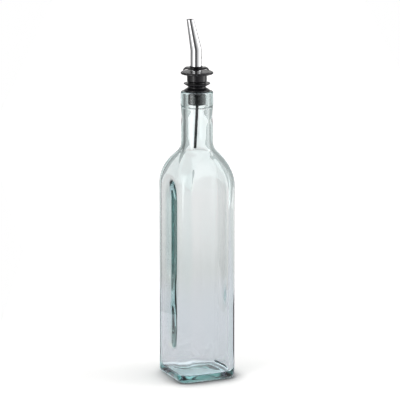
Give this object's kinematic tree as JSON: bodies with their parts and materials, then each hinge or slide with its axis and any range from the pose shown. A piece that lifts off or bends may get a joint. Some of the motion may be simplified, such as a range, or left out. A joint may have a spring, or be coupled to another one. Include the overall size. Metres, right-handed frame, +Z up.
{
  "type": "oil bottle with pouring spout",
  "caption": "Tall square green-tinted glass oil bottle with a black finned stopper and a turning, tapered steel pouring spout with an inner breather tube.",
  "frame": {"origin": "centre of the base, on the surface the bottle stands on", "axes": "+Z up the neck; X and Y square to the flat faces of the body; -Y is the front face"},
  "size_m": [0.058, 0.058, 0.3386],
  "materials": {
    "green_glass": "clear, smooth, faint green tint",
    "black_plastic": "glossy, soft moulded",
    "polished_steel": "polished"
  },
  "bodies": {
    "bottle": {"glass_bottle": "green_glass"},
    "stopper": {"stopper": "black_plastic"},
    "pouring_spout": {"spout": "polished_steel", "breather_tube": "black_plastic", "spout_collar": "black_plastic"}
  },
  "joints": [
    {"name": "stopper_lift", "type": "slide", "parent": "bottle", "child": "stopper", "axis": [0, 0, 1], "range_m": [0, 0.065]},
    {"name": "spout_turn", "type": "hinge", "parent": "stopper", "child": "pouring_spout", "pos_m": [-0.00073, 0.00032, 0.275], "axis": [0, 0, 1], "continuous": true}
  ]
}
